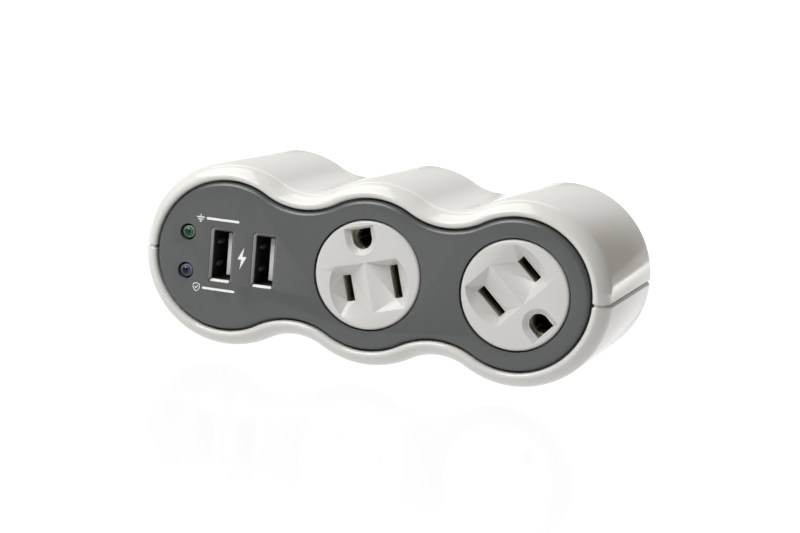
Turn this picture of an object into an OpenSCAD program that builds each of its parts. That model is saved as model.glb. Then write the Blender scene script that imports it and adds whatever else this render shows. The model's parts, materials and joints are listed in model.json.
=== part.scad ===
// Plug-in surge protector: three lobes in a row, two turning outlets, two USB ports and two lamps.
// X runs along the row, Y points into the wall, Z is up. The wall face is the plane Y = 0.

/* [Body] */
// Distance between the centres of two neighbouring lobes
lobe_pitch = 38.25; // [37:0.05:40]
// Outer radius of each lobe
lobe_r = 23.5; // [23:0.1:24.5]
// Distance from a lobe centre to the centre of the waist curve beside it
waist_reach = 38.4; // [38:0.1:40]
// Distance from the wall to the front plate's face
face_depth = 51.3; // [51:0.1:54]
// Radius of the rounding at the front of the band
dome_r = 6.7; // [6:0.1:7]
// Height of that rounding's highest point over the front plate
dome_proud = 1.2; // [1:0.1:1.4]
// Radius of the rounding at the rear of the band
rear_round = 2.5; // [1:0.1:2.6]
// Wall of the two shells
shell_wall = 2.2; // [1.8:0.1:2.4]
// Width of the V groove where the two shells meet
seam_groove = 1.4; // [0.8:0.1:1.6]

/* [Front plate] */
// Radius of the plate in each lobe
plate_r = 18.95; // [18.6:0.05:19]
// Radius of the opening in the band round the plate
rim_r = 19.4; // [19.3:0.1:19.6]
// Thickness of the plate
plate_t = 3; // [2.6:0.1:3.2]
// Radial gap between an outlet and the plate
outlet_gap = 0.4; // [0.3:0.05:0.5]

/* [Outlets] */
// Radius of the outlet's face
outlet_r = 13.8; // [13.5:0.05:14]
// Turn of the middle outlet from ground up, counter-clockwise from the front
middle_turn = 15.2; // [0:0.1:360]
// Turn of the right outlet from ground up, counter-clockwise from the front
right_turn = 226; // [0:0.1:360]
// Distance between the two blades
blade_spacing = 12.7; // [12.7:0.1:12.8]
// Distance from the ground pin to the line through the blades
ground_offset = 11.89; // [11.8:0.01:12]
// Height of the ground hole over the outlet's axis
ground_rise = 9.15; // [9:0.05:9.3]
// Depth of the funnels that lead a blade in
funnel_depth = 3; // [2:0.1:3.2]
// Running clearance between the outlet's barrel and its bearing
running_gap = 0.08; // [0.05:0.01:0.1]

/* [USB ports] */
// Centre of the left port along the row
port_left_x = -39.5; // [-40:0.1:-39]
// Centre of the right port along the row
port_right_x = -27.9; // [-28.4:0.1:-27.5]
// Width and height of the inside of a port
port_inside = [5.12, 12.5]; // [4:0.01:13]
// Sheet thickness of a port's shell
port_sheet = 0.3; // [0.2:0.05:0.3]

/* [Lamps] */
// Centre of the lamps along the row
lamp_x = -49; // [-49.5:0.1:-48.5]
// Height of each lamp over or under the middle
lamp_y = 5; // [4.5:0.1:5.5]
// Radius of a lamp's lens
lamp_r = 1.6; // [1.4:0.05:1.7]
// Height of the lens over its edge
lamp_dome = 1.1; // [0.8:0.1:1.4]
// Radius of the lamp's hole in the plate
lamp_hole_r = 2.15; // [2.1:0.05:2.5]

/* [Plug] */
// Height of the blades over the middle of the plug
blade_rise = 4; // [3.9:0.1:4.1]
// Length of the blades from the wall face
blade_length = 17.5; // [15.9:0.1:18.3]
// Thickness of a blade
blade_t = 1.5; // [1.4:0.05:1.6]
// Width of the line blade
line_blade_w = 6.35; // [6.2:0.05:6.5]
// Width of the neutral blade
neutral_blade_w = 7.9; // [7.8:0.05:8.1]
// Radius of the ground pin
pin_r = 2.38; // [2.36:0.01:2.4]
// Length of the ground pin from the wall face
pin_length = 20.6; // [19:0.1:21]

/* [Hidden] */
$fn = 72;

white = "#e8e6e1";
outlet_white = "#d2cfca";
plate_grey = "#636462";
ivory = "#d8cfb4";
board_green = "#2f5d3a";
brass = "#c9a24b";
nickel = "#b9babd";
steel = "#8f9296";
black = "#1b1b1d";
over = 1;                                   // how far a cut runs past a face

// Waist curve
waist_x = lobe_pitch / 2;
waist_y = sqrt(waist_reach * waist_reach - waist_x * waist_x);
waist_angle = atan2(waist_y, waist_x);      // direction from a lobe's centre to the waist's

// Band
shell_inner_r = lobe_r - shell_wall;
end_steps = 20;
waist_steps = 10;
rear_steps = 4;
dome_steps = 8;
rear_lip_r = 20.4;
rear_lip_h = 3.2;
dome_base = face_depth + dome_proud - dome_r;
plate_bottom = face_depth - plate_t;
plate_flange_r = 20.8;
plate_flange_t = 1.8;
flange_bottom = plate_bottom - plate_flange_t;
lip_bottom = plate_bottom + 0.1;

// Rear cover, posts and screws
cover_r = 20.2;
cover_t = 2.5;
post_r = 2.45;
post_top = 26;
screw_r = 1.1;
screw_head_r = 1.8;
screw_head_t = 1.8;
head_seat = 22;
screw_reach = 14;
screw_clear = 0.1;
posts = [[-waist_x, 12.4], [-waist_x, -12.4], [waist_x, 12.4], [waist_x, -12.4],
         [-lobe_pitch - 17.6, 0], [lobe_pitch + 17.75, 0]];

// Plug: its neck fills a hole in the rear cover, and a flange inside holds it
plug_neck_r = 13;
plug_neck_gap = 0.1;
plug_flange_r = 13.9;
plug_flange_t = 2;
plug_root = 5.4;
pin_root_r = 3;
root_gap = 0.05;
lock_hole_r = 1.55;
lock_hole_reach = 4;
tip_cut = 1.6;

// Contact carrier and the bus bars behind it
outlet_x = [0, lobe_pitch];
carrier_bottom = 20;
carrier_t = 2.4;
sleeve_wall = 1.5;
sleeve_top = 44.5;
lug_y = 18;
lug_r = 2.5;
bus_t = 1;
bus_w = 3;
bus_bottom = carrier_bottom - bus_t - 0.2;
brush_r = 1.2;
brush_gap = 0.2;
line_bus_y = 8;

// Outlet, from the back to the face
back_bottom = 27;
back_t = 2;
ring_t = 1;
core_bottom = back_bottom + back_t;
core_top = 45;
flange_low = 46.3;
flange_high = plate_bottom - outlet_gap;
flange_r = 15.2;
barrel_r = 13.4;
barrel_inner_r = 11.9;
core_r = 11.8;
slot_y = ground_rise - ground_offset;
slot_x = blade_spacing / 2;
line_slot = [2.1, 6.7];
neutral_slot = [2.1, 8.4];
funnel_r = 10.5;
funnel_top = 3.2;
funnel_bottom = -9.5;
ridge = 0.15;
ground_hole_r = 2.58;
ground_recess_r = 4;
ground_recess_top = 3.2;
ground_recess_depth = 1.2;
ground_recess_low_r = 2.75;
contact_sheet = 0.5;
contact_low = 30.5;
contact_high = 44;
sleeve_contact_r = 2.42;
line_ring_r = 10.5;
neutral_ring_r = norm([slot_x, slot_y]);
ring_w = 1.8;
stud_r = 2.4;
link_low = 29.3;
blade_grip_gap = 0.03;
line_clip_w = 6;
neutral_clip_w = 7.6;
line_brush = [sqrt(line_ring_r * line_ring_r - line_bus_y * line_bus_y), line_bus_y];
neutral_brush = [0, -neutral_ring_r];
ground_brush = [0, 0];

// Boards
surge_board_box = [[-17, -9.2], [53.3, 9.2]];
surge_board_low = 6;
board_t = 1.6;
surge_board_high = surge_board_low + board_t;
charger_board_box = [[-52.6, -12.8], [-22.6, 12.8]];
charger_board_low = 9;
charger_board_high = charger_board_low + board_t;
port_board_low = 33;
port_board_high = port_board_low + board_t;
surge_holes = [[-14.7, 7], [-14.7, -7], [50, 6], [50, -6]];
charger_holes = [[-49, 9.5], [-49, -9.5], [-26, 9.5], [-26, -9.5]];
standoff_r = 2.2;
board_screw_r = 0.9;
board_head_r = 1.7;
board_head_t = 1.2;
board_screw_reach = 4;
lead_r = 0.6;

// USB ports and lamps
port_opening = [6.3, 13.9];
port_mouth = [6.2, 13.8];
port_lip = 0.9;
port_top = face_depth - 0.15;
port_outside = [for (side = port_inside) side + 2 * port_sheet];
port_floor = port_board_high + 2;
spring_slot = [0.9, 3.6];
spring_y = [-3, 2.9];
tongue_t = 1.84;
tongue_gap = 0.65;
tongue_tip = face_depth - 4.2;
tongue_w = 11;
lamp_edge = face_depth - 0.8;
lamp_ball_r = (lamp_r * lamp_r + lamp_dome * lamp_dome) / 2 / lamp_dome;
lamp_foot = 42;
lamp_foot_t = 1;
lamp_foot_r = 1.9;
lamp_leg = [1.27, 0.25];

// Turns the model from lying on its back, front up, to standing against the wall.
module stand() {
  rotate([90, 0, 0]) children();
}

// Steps along an arc: its centre, a direction from it, and whether it is a lobe or a waist.
function arc_steps(centre, from, to, steps, is_lobe) =
  [for (i = [0:steps - 1]) [centre, from + (to - from) * i / steps, is_lobe]];

// The point beside a step, at the radius that a lobe would have there.
function beside(step, r) = step[0] + (step[2] ? r : waist_reach - r) * [cos(step[1]), sin(step[1])];

// The upper half of the lobes' outline, from the right end to the left.
upper_steps = concat(
  arc_steps([lobe_pitch, 0], 0, 180 - waist_angle, end_steps, true),
  arc_steps([waist_x, waist_y], 360 - waist_angle, 180 + waist_angle, waist_steps, false),
  arc_steps([0, 0], waist_angle, 180 - waist_angle, waist_steps, true),
  arc_steps([-waist_x, waist_y], 360 - waist_angle, 180 + waist_angle, waist_steps, false),
  arc_steps([-lobe_pitch, 0], waist_angle, 180, end_steps, true),
  [[[-lobe_pitch, 0], 180, true]]
);

// A flat slab with the outline of the lobes.
module lobed_slab(r, bottom, top) {
  upper = [for (step = upper_steps) beside(step, r)];
  lower = [for (i = [len(upper) - 2:-1:1]) [upper[i][0], -upper[i][1]]];
  translate([0, 0, bottom]) linear_extrude(top - bottom) polygon(concat(upper, lower));
}

// Section of the band as radius and height: rear rounding, side, dome, rim, lip and rear lip.
function band_section(inset) =
  let (rear = rear_round - inset, front = dome_r - inset,
       rim_angle = acos((rim_r - lobe_r + dome_r) / front))
  concat(
    [[rear_lip_r, inset]],
    [for (i = [0:rear_steps]) [lobe_r - rear_round, rear_round] + rear * [sin(90 * i / rear_steps), -cos(90 * i / rear_steps)]],
    [for (i = [0:dome_steps]) [lobe_r - dome_r, dome_base] + front * [cos(rim_angle * i / dome_steps), sin(rim_angle * i / dome_steps)]],
    [[rim_r, lip_bottom], [shell_inner_r, lip_bottom], [shell_inner_r, rear_lip_h], [rear_lip_r, rear_lip_h]]
  );

// Half of the band, swept along the upper outline; its two ends are cut back to form the seam's groove.
module shell_half() {
  groove_turn = asin(seam_groove / 2 / lobe_r);
  last = len(upper_steps) - 1;
  steps = concat(
    [upper_steps[0], [upper_steps[0][0], groove_turn, true]],
    [for (i = [1:last - 1]) upper_steps[i]],
    [[upper_steps[last][0], 180 - groove_turn, true], upper_steps[last]]
  );
  rings = len(steps);
  sides = len(band_section(0));
  points = [for (i = [0:rings - 1], p = band_section(i == 0 || i == rings - 1 ? seam_groove / 2 : 0))
            concat(beside(steps[i], p[0]), p[1])];
  walls = [for (i = [0:rings - 2], j = [0:sides - 1])
           let (k = (j + 1) % sides)
           [i * sides + j, i * sides + k, (i + 1) * sides + k, (i + 1) * sides + j]];
  first_end = [for (j = [sides - 1:-1:0]) j];
  last_end = [for (j = [0:sides - 1]) (rings - 1) * sides + j];
  polyhedron(points, concat([first_end], walls, [last_end]), convexity = 8);
}

module upper_shell() {
  color(white) stand() shell_half();
}

module lower_shell() {
  color(white) stand() mirror([0, 1, 0]) shell_half();
}

module at_lugs() {
  for (x = outlet_x, y = [-lug_y, lug_y]) {
    translate([x, y, 0]) children();
  }
}

module front_plate() {
  color(plate_grey) stand() difference() {
    union() {
      lobed_slab(plate_r, plate_bottom, face_depth);
      lobed_slab(plate_flange_r, flange_bottom, plate_bottom);
      for (p = posts) {
        translate([p[0], p[1], post_top]) cylinder(r = post_r, h = flange_bottom - post_top);
      }
      at_lugs() translate([0, 0, carrier_bottom + carrier_t])
        cylinder(r = lug_r, h = flange_bottom - carrier_bottom - carrier_t);
    }
    for (x = outlet_x) {
      translate([x, 0, plate_bottom - over]) cylinder(r = outlet_r + outlet_gap, h = plate_t + 2 * over);
      translate([x, 0, flange_bottom - over]) cylinder(r = flange_r + outlet_gap, h = plate_flange_t + over);
    }
    for (x = [port_left_x, port_right_x]) {
      translate([x, 0, face_depth]) port_block(port_opening, 2 * plate_flange_t + 2 * plate_t);
    }
    at_lamps() translate([0, 0, flange_bottom - over])
      cylinder(r = lamp_hole_r, h = plate_t + plate_flange_t + 2 * over);
    for (p = posts) {
      translate([p[0], p[1], post_top - over])
        cylinder(r = screw_r + screw_clear, h = screw_reach + over);
    }
    at_lugs() cylinder(r = screw_r + screw_clear, h = carrier_bottom + carrier_t + screw_reach);
  }
}

module at_lamps() {
  for (y = [-lamp_y, lamp_y]) {
    translate([lamp_x, y, 0]) children();
  }
}

module port_block(size, depth) {
  cube([size[0], size[1], depth], center = true);
}

module at_points(points) {
  for (p = points) {
    translate([p[0], p[1], 0]) children();
  }
}

module rear_cover() {
  color(plate_grey) stand() difference() {
    union() {
      lobed_slab(cover_r, 0, cover_t);
      at_points(posts) cylinder(r = post_r, h = post_top);
      at_points(surge_holes) cylinder(r = standoff_r, h = surge_board_low);
      at_points(charger_holes) cylinder(r = standoff_r, h = charger_board_low);
    }
    translate([0, 0, -over]) cylinder(r = plug_neck_r + plug_neck_gap, h = cover_t + 2 * over);
    at_points(posts) translate([0, 0, -over]) {
      cylinder(r = screw_head_r + screw_clear, h = head_seat + over);
      cylinder(r = screw_r + screw_clear, h = post_top + 2 * over);
    }
    at_points(surge_holes) translate([0, 0, cover_t]) cylinder(r = board_screw_r, h = surge_board_low);
    at_points(charger_holes) translate([0, 0, cover_t]) cylinder(r = board_screw_r, h = charger_board_low);
  }
}

// A screw driven from the rear: its head's seat is at the given height.
module screw(seat, r, head_r, head_t, reach) {
  translate([0, 0, seat - head_t]) difference() {
    cylinder(r = head_r, h = head_t);
    for (turn = [0, 90]) {
      rotate([0, 0, turn]) cube([head_r * 1.3, head_r * 0.28, head_t], center = true);
    }
  }
  translate([0, 0, seat]) cylinder(r = r, h = reach);
}

// A screw driven from the front into a standoff.
module board_screw(top) {
  translate([0, 0, top]) difference() {
    cylinder(r = board_head_r, h = board_head_t);
    for (turn = [0, 90]) {
      translate([0, 0, board_head_t]) rotate([0, 0, turn])
        cube([board_head_r * 1.3, board_head_r * 0.28, board_head_t], center = true);
    }
  }
  translate([0, 0, top - board_screw_reach]) cylinder(r = board_screw_r - 0.02, h = board_screw_reach);
}

module housing_screws() {
  color(steel) stand() at_points(posts) screw(head_seat, screw_r, screw_head_r, screw_head_t, screw_reach);
}

module plug_base() {
  color(black) stand() difference() {
    union() {
      cylinder(r = plug_neck_r, h = cover_t);
      translate([0, 0, cover_t]) cylinder(r = plug_flange_r, h = plug_flange_t);
    }
    line_bar(root_gap, -over, plug_root);
    neutral_bar(root_gap, -over, plug_root);
    translate([0, blade_rise - ground_offset, -over]) cylinder(r = pin_root_r + root_gap, h = plug_root + over);
  }
}

// A blade's bar, grown by a clearance, between two heights.
module line_bar(grow, low, high) {
  translate([slot_x - blade_t / 2 - grow, blade_rise - line_blade_w / 2 - grow, low])
    cube([blade_t + 2 * grow, line_blade_w + 2 * grow, high - low]);
}

module neutral_bar(grow, low, high) {
  translate([-slot_x - blade_t / 2 - grow, blade_rise - neutral_blade_w / 2 - grow, low])
    cube([blade_t + 2 * grow, neutral_blade_w + 2 * grow, high - low]);
}

// The tip's two corners are cut off, and the lock hole is drilled.
module blade_cuts(x, w) {
  translate([x, blade_rise, lock_hole_reach - blade_length]) rotate([0, 90, 0])
    cylinder(r = lock_hole_r, h = 4 * blade_t, center = true);
  for (side = [-1, 1]) {
    translate([x, blade_rise + side * w / 2, -blade_length]) rotate([45, 0, 0])
      cube([4 * blade_t, tip_cut, tip_cut], center = true);
  }
}

module line_blade() {
  color(brass) stand() difference() {
    line_bar(0, -blade_length, plug_root);
    blade_cuts(slot_x, line_blade_w);
  }
}

module neutral_blade() {
  color(brass) stand() difference() {
    neutral_bar(0, -blade_length, plug_root);
    blade_cuts(-slot_x, neutral_blade_w);
  }
}

module ground_pin() {
  color(brass) stand() translate([0, blade_rise - ground_offset, 0]) {
    translate([0, 0, pin_r - pin_length]) cylinder(r = pin_r, h = pin_length - pin_r + over);
    translate([0, 0, pin_r - pin_length]) sphere(r = pin_r);
    cylinder(r = pin_root_r, h = plug_root);
  }
}

module contact_carrier() {
  color(ivory) stand() difference() {
    union() {
      for (x = outlet_x) {
        translate([x, 0, carrier_bottom]) cylinder(r = barrel_r + running_gap + sleeve_wall, h = sleeve_top - carrier_bottom);
      }
      translate([0, -7, carrier_bottom]) cube([lobe_pitch, 14, carrier_t]);
      at_lugs() translate([0, 0, carrier_bottom]) cylinder(r = lug_r, h = carrier_t);
      for (x = outlet_x) {
        translate([x - lug_r, -lug_y, carrier_bottom]) cube([2 * lug_r, 2 * lug_y, carrier_t]);
      }
    }
    for (x = outlet_x) {
      translate([x, 0, carrier_bottom + carrier_t]) cylinder(r = barrel_r + running_gap, h = sleeve_top);
      for (brush = [line_brush, neutral_brush, ground_brush]) {
        translate([x + brush[0], brush[1], carrier_bottom - over]) cylinder(r = brush_r + 0.3, h = carrier_t + 2 * over);
      }
    }
    at_lugs() translate([0, 0, carrier_bottom - over]) cylinder(r = screw_r + screw_clear, h = carrier_t + 2 * over);
  }
}

module carrier_screws() {
  color(steel) stand() at_lugs() screw(carrier_bottom, screw_r, screw_head_r, screw_head_t, screw_reach);
}

// A bus bar behind the carrier, with a brush that reaches up to each outlet's ring.
module bus_bar(brush) {
  translate([brush[0] - bus_w, brush[1] - bus_w / 2, bus_bottom]) cube([lobe_pitch + 2 * bus_w, bus_w, bus_t]);
  for (x = outlet_x) {
    translate([x + brush[0], brush[1], bus_bottom + bus_t])
      cylinder(r = brush_r, h = back_bottom - ring_t - brush_gap - bus_bottom - bus_t);
  }
}

module line_bus() {
  color(brass) stand() bus_bar(line_brush);
}

module neutral_bus() {
  color(brass) stand() bus_bar(neutral_brush);
}

module ground_bus() {
  color(brass) stand() bus_bar(ground_brush);
}

// A circuit board between two corners, with its screw holes.
module board(corners, low, holes) {
  difference() {
    translate([corners[0][0], corners[0][1], low])
      cube([corners[1][0] - corners[0][0], corners[1][1] - corners[0][1], board_t]);
    at_points(holes) translate([0, 0, low - over]) cylinder(r = board_screw_r + 0.1, h = board_t + 2 * over);
  }
}

module surge_board() {
  color(board_green) stand() board(surge_board_box, surge_board_low, surge_holes);
}

module surge_board_screws() {
  color(steel) stand() at_points(surge_holes) board_screw(surge_board_high);
}

// A disc varistor standing on its two leads.
module varistor(x, y) {
  r = 4.7;
  thick = 3.6;
  middle = surge_board_high + 0.8 + r;
  translate([x, y + thick / 2, middle]) rotate([90, 0, 0]) cylinder(r = r, h = thick);
  for (side = [-1, 1]) {
    translate([x + side * 2.5, y, surge_board_high]) cylinder(r = 0.4, h = middle - surge_board_high);
  }
}

module line_varistor() {
  color("#2b5fa3") stand() varistor(18, 5.5);
}

module neutral_varistor() {
  color("#2b5fa3") stand() varistor(18, 0);
}

module ground_varistor() {
  color("#2b5fa3") stand() varistor(18, -5.5);
}

module thermal_fuse() {
  color(nickel) stand() translate([9, -6, surge_board_high + 2.5]) {
    rotate([0, 90, 0]) translate([0, 0, -15]) {
      translate([0, 0, 3]) cylinder(r = 1.6, h = 10);
      cylinder(r = 0.4, h = 16);
    }
    for (x = [-15, 1]) {
      translate([x, 0, -2.5]) cylinder(r = 0.4, h = 2.9);
    }
  }
}

module noise_capacitor() {
  color("#d9b233") stand() translate([27, -8, surge_board_high]) cube([6, 16, 10]);
}

module noise_choke() {
  color("#8a4a22") stand() {
    translate([42, 0, surge_board_high + 2.8]) rotate_extrude() translate([5.2, 0]) circle(2.6);
    for (side = [-1, 1]) {
      translate([42 + side * 5.2, 0, surge_board_high]) cylinder(r = 0.5, h = 1);
    }
  }
}

module charger_board() {
  color(board_green) stand() board(charger_board_box, charger_board_low, charger_holes);
}

module charger_board_screws() {
  color(steel) stand() at_points(charger_holes) board_screw(charger_board_high);
}

module charger_transformer() {
  color("#c8b13a") stand() translate([-37.6, 0, charger_board_high]) {
    translate([-7, -6, 0]) cube([14, 12, 3]);
    translate([-5.5, -6.5, 3]) cube([11, 13, 9]);
    translate([-7, -6, 12]) cube([14, 12, 2.5]);
  }
}

module charger_capacitors() {
  color(black) stand() for (y = [-5.5, 5.5]) {
    translate([-49, y * 0.62, charger_board_high]) cylinder(r = 3.1, h = 12);
    translate([-26.2, y * 0.62, charger_board_high]) cylinder(r = 3.1, h = 14);
  }
}

module port_board() {
  color(board_green) stand() board(charger_board_box, port_board_low, []);
}

// A lead with square bends along a list of points.
module lead(points, r) {
  for (i = [0:len(points) - 2]) {
    step = points[i + 1] - points[i];
    long = norm(step);
    translate(points[i]) rotate([0, acos(step[2] / long), atan2(step[1], step[0])]) cylinder(r = r, h = long);
  }
  for (i = [1:len(points) - 2]) {
    translate(points[i]) sphere(r = r);
  }
}

module line_lead() {
  color(black) stand()
    lead([[12, 5, surge_board_high], [12, 5, 16], [12, line_bus_y, 16], [12, line_bus_y, bus_bottom]], lead_r);
}

module neutral_lead() {
  color(white) stand()
    lead([[-8, -3, surge_board_high], [-8, -3, 17], [-8, -neutral_ring_r, 17], [-8, -neutral_ring_r, 19.3],
          [-bus_w, -neutral_ring_r, 19.3]], lead_r);
}

module ground_lead() {
  color("#2e8b45") stand()
    lead([[-8, 3, surge_board_high], [-8, 3, 17], [-8, 0, 17], [-8, 0, 19.3], [-bus_w, 0, 19.3]], lead_r);
}

module charger_leads() {
  color("#b03030") stand() for (y = [-3, 3]) {
    lead([[-16, y * 0.5, surge_board_high], [-16, y * 0.5, 28], [-21.8, y * 0.5, 28],
          [-21.8, y * 0.5, port_board_low + 0.8], [-22.6, y * 0.5, port_board_low + 0.8]], lead_r);
  }
}

// A sheet metal shell whose mouth flares out to fill the plate's opening.
module port_shell(x) {
  skin = 0.02;
  translate([x, 0, 0]) difference() {
    union() {
      translate([-port_outside[0] / 2, -port_outside[1] / 2, port_board_high])
        cube([port_outside[0], port_outside[1], port_top - port_board_high]);
      translate([-port_mouth[0] / 2, -port_mouth[1] / 2, port_top - port_lip])
        cube([port_mouth[0], port_mouth[1], port_lip]);
    }
    hull() {
      translate([0, 0, port_top - port_lip]) port_block(port_inside, skin);
      translate([0, 0, port_top + skin]) port_block([port_mouth[0] - 0.1, port_mouth[1] - 0.1], skin);
    }
    translate([-port_inside[0] / 2, -port_inside[1] / 2, port_floor])
      cube([port_inside[0], port_inside[1], port_top]);
    for (y = spring_y) {
      translate([-port_outside[0] / 2 - over, y, port_top - 2 * spring_slot[1]])
        cube([over + port_sheet + 0.01, spring_slot[0], spring_slot[1]]);
    }
  }
}

module port_tongue(x) {
  translate([x + port_inside[0] / 2 - tongue_gap - tongue_t, -tongue_w / 2, port_floor])
    cube([tongue_t, tongue_w, tongue_tip - port_floor]);
}

module port_contacts(x) {
  for (y = [-3.5, -1, 1, 3.5]) {
    translate([x + port_inside[0] / 2 - tongue_gap - tongue_t - 0.2, y - 0.5, port_floor])
      cube([0.2, 1, tongue_tip - port_floor - 1]);
  }
}

module left_port_shell() {
  color(nickel) stand() port_shell(port_left_x);
}

module left_port_tongue() {
  color(white) stand() port_tongue(port_left_x);
}

module left_port_contacts() {
  color(brass) stand() port_contacts(port_left_x);
}

module right_port_shell() {
  color(nickel) stand() port_shell(port_right_x);
}

module right_port_tongue() {
  color(white) stand() port_tongue(port_right_x);
}

module right_port_contacts() {
  color(brass) stand() port_contacts(port_right_x);
}

module lamp(y) {
  translate([lamp_x, y, 0]) {
    intersection() {
      translate([0, 0, lamp_edge + lamp_dome - lamp_ball_r]) sphere(r = lamp_ball_r);
      translate([0, 0, lamp_edge - 0.3]) cylinder(r = lamp_r, h = lamp_dome + over);
    }
    translate([0, 0, lamp_foot + lamp_foot_t]) cylinder(r = lamp_r, h = lamp_edge - lamp_foot - lamp_foot_t);
    translate([0, 0, lamp_foot]) cylinder(r = lamp_foot_r, h = lamp_foot_t);
    for (side = [-1, 1]) {
      translate([side * lamp_leg[0], 0, port_board_high]) cylinder(r = lamp_leg[1], h = lamp_foot - port_board_high);
    }
  }
}

module ground_lamp() {
  color("#1f6b35") stand() lamp(lamp_y);
}

module surge_lamp() {
  color("#1c1c52") stand() lamp(-lamp_y);
}

// Puts an outlet's piece in its lobe, turned from ground up.
module outlet_place(x, turn) {
  translate([x, 0, 0]) rotate([0, 0, turn]) children();
}

module slot_box(side, size, low, high) {
  translate([side * slot_x - size[0] / 2, slot_y - size[1] / 2, low]) cube([size[0], size[1], high - low]);
}

// One funnel: the half of the round recess on one side, drawn in to the blade slot.
module funnel(side, size) {
  skin = 0.02;
  hull() {
    translate([0, 0, face_depth]) linear_extrude(skin) intersection() {
      translate([0, (funnel_top + funnel_bottom) / 2]) circle(funnel_r, $fn = 64);
      translate([side > 0 ? ridge : -funnel_r - ridge, funnel_bottom]) square([funnel_r, funnel_top - funnel_bottom]);
    }
    slot_box(side, size, face_depth - funnel_depth, face_depth - funnel_depth + skin);
  }
}

module ground_outline(r) {
  circle(r);
  translate([-r, 0]) square([2 * r, r]);
}

// The recess round the ground hole, narrower at its bottom.
module ground_recess() {
  skin = 0.02;
  translate([0, ground_rise, face_depth]) hull() {
    linear_extrude(skin) intersection() {
      ground_outline(ground_recess_r);
      translate([-ground_recess_r, -ground_recess_r]) square([2 * ground_recess_r, ground_recess_r + ground_recess_top]);
    }
    translate([0, 0, -ground_recess_depth]) linear_extrude(skin) ground_outline(ground_recess_low_r);
  }
}

module outlet_face() {
  difference() {
    union() {
      translate([0, 0, flange_high]) cylinder(r = outlet_r, h = face_depth - flange_high);
      translate([0, 0, flange_low]) cylinder(r = flange_r, h = flange_high - flange_low);
      translate([0, 0, core_bottom]) cylinder(r = barrel_r, h = flange_low - core_bottom);
    }
    translate([0, 0, core_bottom - over]) cylinder(r = barrel_inner_r, h = core_top - core_bottom + over + 0.1);
    translate([0, ground_rise, core_bottom - over])
      cylinder(r = sleeve_contact_r + contact_sheet + 0.1, h = core_top - core_bottom + over + 0.1);
    slot_box(-1, line_slot, core_bottom, face_depth);
    slot_box(1, neutral_slot, core_bottom, face_depth);
    funnel(-1, line_slot);
    funnel(1, neutral_slot);
    translate([0, ground_rise, core_bottom]) linear_extrude(face_depth) ground_outline(ground_hole_r);
    ground_recess();
  }
}

module outlet_core() {
  difference() {
    translate([0, 0, core_bottom]) cylinder(r = core_r, h = core_top - core_bottom);
    for (side = [-1, 1]) {
      slot_box(side, [3.4, 9.2], core_bottom - over, core_top + over);
    }
    translate([-slot_x, slot_y, link_low - 0.1]) rotate([0, 0, 180 + atan2(-slot_y, slot_x)])
      translate([0, -1.4, -over]) cube([5.2, 2.8, 3.4]);
    translate([0, ground_rise, core_bottom - over]) cylinder(r = sleeve_contact_r + contact_sheet + 0.2, h = core_top);
    translate([-1.4, -1.4, core_bottom - over]) cube([2.8, ground_rise + 1.4, over + 2]);
  }
}

module outlet_back() {
  link_turn = 180 + atan2(-slot_y, slot_x);
  difference() {
    translate([0, 0, back_bottom]) cylinder(r = barrel_r, h = back_t);
    translate([0, 0, back_bottom - over]) {
      rotate([0, 0, link_turn]) translate([line_ring_r, 0, 0]) cylinder(r = 0.8, h = back_t + 2 * over);
      translate([slot_x, slot_y, 0]) cylinder(r = 0.8, h = back_t + 2 * over);
      cylinder(r = 1.1, h = back_t + 2 * over);
    }
  }
}

// Two spring leaves that grip a blade, on a foot.
module blade_clip(side, w) {
  translate([side * slot_x, slot_y, 0]) {
    for (leaf = [-1, 1]) {
      translate([leaf * (blade_t / 2 + blade_grip_gap + contact_sheet / 2) - contact_sheet / 2, -w / 2, contact_low])
        cube([contact_sheet, w, contact_high - contact_low]);
    }
    translate([-blade_t / 2 - blade_grip_gap - contact_sheet, -w / 2, contact_low - contact_sheet])
      cube([blade_t + 2 * blade_grip_gap + 2 * contact_sheet, w, contact_sheet]);
  }
}

module line_contact() {
  link_turn = 180 + atan2(-slot_y, slot_x);
  blade_clip(-1, line_clip_w);
  rotate([0, 0, link_turn]) {
    translate([neutral_ring_r - 1, -1, link_low]) cube([line_ring_r - neutral_ring_r + 1.7, 2, contact_low - link_low]);
    translate([line_ring_r, 0, back_bottom]) cylinder(r = 0.7, h = link_low - back_bottom);
  }
}

module neutral_contact() {
  blade_clip(1, neutral_clip_w);
  translate([slot_x, slot_y, back_bottom]) cylinder(r = 0.7, h = contact_low - contact_sheet - back_bottom);
}

module ground_contact() {
  translate([0, ground_rise, 0]) difference() {
    translate([0, 0, link_low]) cylinder(r = sleeve_contact_r + contact_sheet, h = contact_high - link_low);
    translate([0, 0, link_low + 0.8]) cylinder(r = sleeve_contact_r, h = contact_high);
    for (turn = [0, 90]) {
      rotate([0, 0, turn]) translate([-5, -0.25, contact_high - 9]) cube([10, 0.5, 10]);
    }
  }
  translate([-1, 0, link_low]) cube([2, ground_rise - sleeve_contact_r, 0.8]);
  translate([0, 0, back_bottom]) cylinder(r = 1, h = link_low + 0.8 - back_bottom);
}

module slip_ring(r) {
  translate([0, 0, back_bottom - ring_t]) difference() {
    cylinder(r = r + ring_w / 2, h = ring_t);
    translate([0, 0, -over]) cylinder(r = r - ring_w / 2, h = ring_t + 2 * over);
  }
}

module ground_stud() {
  translate([0, 0, back_bottom - ring_t]) cylinder(r = stud_r, h = ring_t);
}

module friction_ring() {
  translate([0, 0, sleeve_top + 1]) rotate_extrude() translate([14.2, 0]) circle(0.75);
}

module middle_outlet_face() {
  color(outlet_white) stand() outlet_place(0, middle_turn) outlet_face();
}

module middle_outlet_core() {
  color(ivory) stand() outlet_place(0, middle_turn) outlet_core();
}

module middle_outlet_back() {
  color(black) stand() outlet_place(0, middle_turn) outlet_back();
}

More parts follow.
